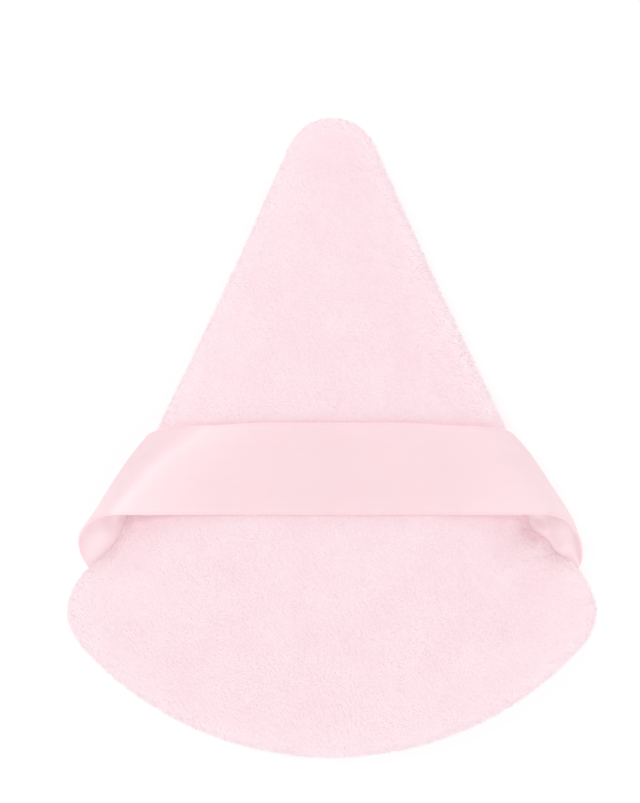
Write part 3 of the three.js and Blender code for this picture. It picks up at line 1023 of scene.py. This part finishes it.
# %% [markdown]
# ## The satin
#
# Satin is woven so that long threads float on top, side by side along the ribbon. They shine in bands
# across their length, which is what an anisotropic shader with a tangent along the ribbon gives. The
# weave follows the ribbon's own UV map, counted in ribbon widths: U runs along it from the middle of the
# puff, and V across it. Fine ridges are the threads, long faint streaks are where they bunch, and the two
# edges are the denser selvedge. The cloth is thin, so a share of the light goes through it, and the
# inside of the turned ends is pale.

# %% Colour of the satin
MIDDLE_THREAD = 0.5
STREAKS = (0.6, 40, 1)
STREAK_DETAIL = 4
STREAK_TINTS = [(0.976, 0.875, 0.895), (0.987, 0.895, 0.915)]
SELVEDGE = 0.05
SELVEDGE_SPAN = (MIDDLE_THREAD - SELVEDGE, MIDDLE_THREAD - SELVEDGE / 2)
SELVEDGE_TINTS = [(1, 1, 1), (1, 0.96, 0.97)]

satin_finish, satin_tree, satin_shader = new_finish("satin")
weave = add_node(satin_tree, "ShaderNodeUVMap", uv_map="weave").outputs["UV"]
stretched = add_node(satin_tree, "ShaderNodeMapping")
set_inputs(stretched, {"Scale": STREAKS})
satin_tree.links.new(weave, stretched.inputs["Vector"])
streak = noise(satin_tree, stretched.outputs["Vector"], 1, STREAK_DETAIL)
streak_colour = ramp(satin_tree, streak, NOISE_SPAN, STREAK_TINTS)
across = add_node(satin_tree, "ShaderNodeSeparateXYZ")
satin_tree.links.new(weave, across.inputs[0])
from_middle = add_node(satin_tree, "ShaderNodeMath", operation="SUBTRACT")
from_middle.inputs[1].default_value = MIDDLE_THREAD
satin_tree.links.new(across.outputs["Y"], from_middle.inputs[0])
to_edge = add_node(satin_tree, "ShaderNodeMath", operation="ABSOLUTE")
satin_tree.links.new(from_middle.outputs[0], to_edge.inputs[0])
edge_colour = ramp(satin_tree, to_edge.outputs[0], SELVEDGE_SPAN, SELVEDGE_TINTS)
satin_colour = multiply(satin_tree, streak_colour, edge_colour)
satin_tree.links.new(satin_colour, satin_shader.inputs["Base Color"])
print(f"satin with a selvedge of {SELVEDGE:.0%} of its width")

# %% Shine of the satin
THREADS_ACROSS = 110
THREAD_DEPTH = 0.02 * MM
THREAD_STRENGTH = 0.25
GLOSSIEST = 0.32
DULLEST = 0.44
THINNESS = 0.5

gloss = add_node(satin_tree, "ShaderNodeMapRange")
set_inputs(gloss, {"To Min": GLOSSIEST, "To Max": DULLEST})
satin_tree.links.new(streak, gloss.inputs["Value"])
satin_tree.links.new(gloss.outputs["Result"], satin_shader.inputs["Roughness"])
set_inputs(satin_shader, {"Specular IOR Level": 1, "IOR": 2, "Sheen Weight": 0.1})
set_inputs(satin_shader, {"Anisotropic": 0.5, "Anisotropic Rotation": 0.25})
run_of_weave = add_node(satin_tree, "ShaderNodeTangent", direction_type="UV_MAP", uv_map="weave")
satin_tree.links.new(run_of_weave.outputs[0], satin_shader.inputs["Tangent"])
# A wave of scale 1 has 10 / pi ridges to one unit of V, which is one ribbon width.
ridges = add_node(satin_tree, "ShaderNodeTexWave", wave_type="BANDS", bands_direction="Y")
set_inputs(ridges, {"Scale": THREADS_ACROSS * math.pi / 10, "Distortion": 0.6})
satin_tree.links.new(weave, ridges.inputs["Vector"])
bump(satin_tree, satin_shader, ridges.outputs["Fac"], THREAD_STRENGTH, THREAD_DEPTH)

through = add_node(satin_tree, "ShaderNodeBsdfTranslucent")
satin_tree.links.new(satin_colour, through.inputs["Color"])
thin = add_node(satin_tree, "ShaderNodeMixShader")
set_inputs(thin, {"Fac": THINNESS})
satin_tree.links.new(satin_shader.outputs[0], thin.inputs[1])
satin_tree.links.new(through.outputs[0], thin.inputs[2])
satin_tree.links.new(thin.outputs[0], satin_tree.nodes["Material Output"].inputs["Surface"])
print(f"satin with {THREADS_ACROSS} threads across")

# %% [markdown]
# ## The ribbon
#
# The ribbon is one length, sewn into the side seams lower down than it lies on the face. So each end comes
# out of the seam, turns over on the slant and lies flat again, and below its lower edge the turn shows as
# an open loop. We model half of it at a time, because the middle lifts with the finger while the ends stay
# sewn. A flat grid is bent along curves: every thread of the ribbon runs level from the middle of the
# puff, dips a little as the face falls away, turns over on a Bezier curve and goes into the seam. Its
# upper edge also falls a little towards the base on the way out, and the stitches pucker it at the seam.

# %% Ribbon on the face
RIBBON_WIDTH = RIBBON_TOP - RIBBON_BOTTOM
RIBBON_RISE = 0.2 * MM
RIBBON_HEIGHT = CROWN_HEIGHT + RIBBON_RISE
DIP = 0.7 * MM
DIP_POWER = 3
UPPER_FALL = 0.45 * MM
FALL_FROM = 8 * MM
FALL_OVER = 9 * MM


def across_ribbon(values, share):
    """A value that goes from top to middle to bottom as share goes down the ribbon's width."""
    top, middle, bottom = values
    return (top * (1 - share) - bottom * share) * (1 - 2 * share) + middle * 4 * share * (1 - share)


def level_stretch(share, end):
    """How far from the middle the ribbon lies on the face before it turns over."""
    edge = half_width(RIBBON_TOP - RIBBON_WIDTH * share)
    return edge - across_ribbon(end["turn"], share) * MM


def level_height(t):
    """Height of the ribbon on the face, for a share of its level stretch."""
    return RIBBON_HEIGHT - DIP * t**DIP_POWER


def upper_fall(x):
    """How far the ribbon's upper edge falls towards the base, at this distance from the middle."""
    return UPPER_FALL * smoothstep((x - FALL_FROM) / FALL_OVER)


# %% One thread of the ribbon
TAB = 3 * MM
PUCKER_REACH = 1.6 * MM
CREASE_SHARE = 0.3
THREAD_POINTS = 60


def sewn_point(share, side):
    """Where the seam holds the ribbon, for a share of its width down from its upper edge."""
    y = SEWN_TOP + (SEWN_BOTTOM - SEWN_TOP) * share
    return np.array([half_width(y) - waist(y, side), y, SEAM_HEIGHT])


def ribbon_thread(share, end):
    """Points along one thread of the ribbon, from the middle of the puff to the end of its tab."""
    flat_x = level_stretch(share, end)
    t = np.linspace(0, 1, THREAD_POINTS)[:, None]
    fall = upper_fall(flat_x * t)
    level = np.hstack([flat_x * t, RIBBON_TOP - fall - (RIBBON_WIDTH - fall) * share, level_height(t)])
    sewn = sewn_point(share, end["side"])
    crease = end["crease"] * max(0, 1 - share / CREASE_SHARE)
    slope = -DIP_POWER * DIP / flat_x - crease
    reach = np.array([1, 0, slope]) * across_ribbon(end["reach"], share) * MM
    angle = math.radians(across_ribbon(end["angle"], share))
    leaving = np.array([math.cos(angle), math.sin(angle), 0])
    leave = leaving * across_ribbon(end["leave"], share) * MM
    corners = [level[-1], level[-1] + reach, sewn + leave, sewn]
    weights = [(1 - t) ** 3, 3 * t * (1 - t) ** 2, 3 * t**2 * (1 - t), t**3]
    turn = sum(w * c for w, c in zip(weights, corners))
    from_seam = np.linalg.norm(turn - sewn, axis=1) / PUCKER_REACH
    wave = math.sin(2 * math.pi * (end["waves"] * share + end["start"]))
    turn[:, 2] += end["pucker"] * wave * from_seam * np.exp(1 - from_seam)
    tab = sewn - leaving * TAB * t
    return np.vstack([level, turn[1:], tab[1:]])


# %% Bending a ribbon
RIBBON_THICKNESS = 0.2 * MM
SELVEDGE_THICKNESS = 0.26 * MM
SHARP_EDGE = math.radians(50)
ROWS = 28
COLUMNS = 110
SHARE_DIGITS = 4


def bend_ribbon(name, end):
    """Half a ribbon, bent along its threads, and its length along the middle thread."""
    side = end["side"]
    bm = bmesh.new()
    uv = bm.loops.layers.uv.new("weave")
    bmesh.ops.create_grid(bm, x_segments=COLUMNS, y_segments=ROWS, size=0.5, calc_uvs=True)
    threads = {}
    run = {}
    for v in bm.verts:
        share = round(0.5 - v.co.y, SHARE_DIGITS)
        if share not in threads:
            line = ribbon_thread(share, end)
            along = np.concatenate([[0], np.cumsum(np.linalg.norm(np.diff(line, axis=0), axis=1))])
            threads[share] = line, along
        line, along = threads[share]
        at = (v.co.x + 0.5) * along[-1]
        run[v] = at / RIBBON_WIDTH, share
        spot = [np.interp(at, along, line[:, k]) for k in range(3)]
        v.co = (side * spot[0], spot[1], spot[2])
    for face in bm.faces:
        for loop in face.loops:
            loop[uv].uv = run[loop.vert]
    if side < 0:
        bmesh.ops.reverse_faces(bm, faces=bm.faces)
    bm.normal_update()
    bm.verts.index_update()
    edges = [v.index for v in bm.verts if run[v][1] in (0, 1)]
    length = max(run[v][0] for v in bm.verts if run[v][1] == MIDDLE_THREAD) * RIBBON_WIDTH
    ribbon = make_piece(name, bm, satin_finish)
    thicken(ribbon, SELVEDGE_THICKNESS, RIBBON_THICKNESS / SELVEDGE_THICKNESS, 0, edges)
    ribbon.data.set_sharp_from_angle(angle=SHARP_EDGE)
    return ribbon, length


# %% [markdown]
# ## Sewing the ribbon on
#
# Both halves are bent by the same function, from a few numbers each. Turn, reach and leave are lengths in
# millimetres, and angle is in degrees, each at the ribbon's upper edge, middle and lower edge: how far
# from the side the turn starts, how far the curve runs on there, and how far and which way it comes out
# of the seam.


def half_ribbon(name, end, *nodes):
    ribbon, length = bend_ribbon(name, end)
    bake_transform(ribbon)
    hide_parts(*nodes)
    print(f"{name}: {length / MM:.1f} mm long, {len(ribbon.data.polygons)} faces")


left_end = {
    "side": -1,
    "turn": (6.5, 3.6, 1.2),
    "reach": (8.2, 8.1, 6.1),
    "leave": (2.2, 4.3, 3.3),
    "angle": (64, 60, 48),
    "crease": 0.1,
    "pucker": 0.25 * MM,
    "waves": 2.6,
    "start": 0.1,
}
right_end = {
    "side": 1,
    "turn": (5, 3, 1.2),
    "reach": (6.6, 7.4, 5),
    "leave": (2, 4.6, 1.8),
    "angle": (64, 58, 60),
    "crease": 0,
    "pucker": 0.45 * MM,
    "waves": 3.4,
    "start": 0.6,
}
half_ribbon("ribbon_left_half", left_end, "ribbon_left_end", "ribbon_band")
half_ribbon("ribbon_right_half", right_end, "ribbon_right_end", "ribbon_band")

# %% [markdown]
# ## Pile under the ribbon
#
# The ribbon presses the pile down where it lies on the face, so its edges are half sunk in the velour and
# throw hardly any shadow. We lower the tip of each fibre there to the ribbon's underside. When the ribbon
# lifts, the pressed band shows, as it does on a puff that has been in use.

# %% Press the pile
def press_pile(pile, end):
    side = end["side"]
    tips = points_of(pile.data)
    fall = upper_fall(side * tips[:, 0])
    share = (RIBBON_TOP - fall - tips[:, 1]) / (RIBBON_WIDTH - fall)
    t = side * tips[:, 0] / level_stretch(share, end)
    under = (share > 0) & (share < 1) & (t >= 0) & (t < 1)
    underside = level_height(t) - RIBBON_THICKNESS / 2
    pressed = under & (tips[:, 2] > underside)
    tips[pressed, 2] = underside[pressed]
    move_points(pile.data, tips)
    print(f"{pile.name}: {pressed.sum()} points pressed down")


for pile in front_piles:
    press_pile(pile, left_end)
    press_pile(pile, right_end)
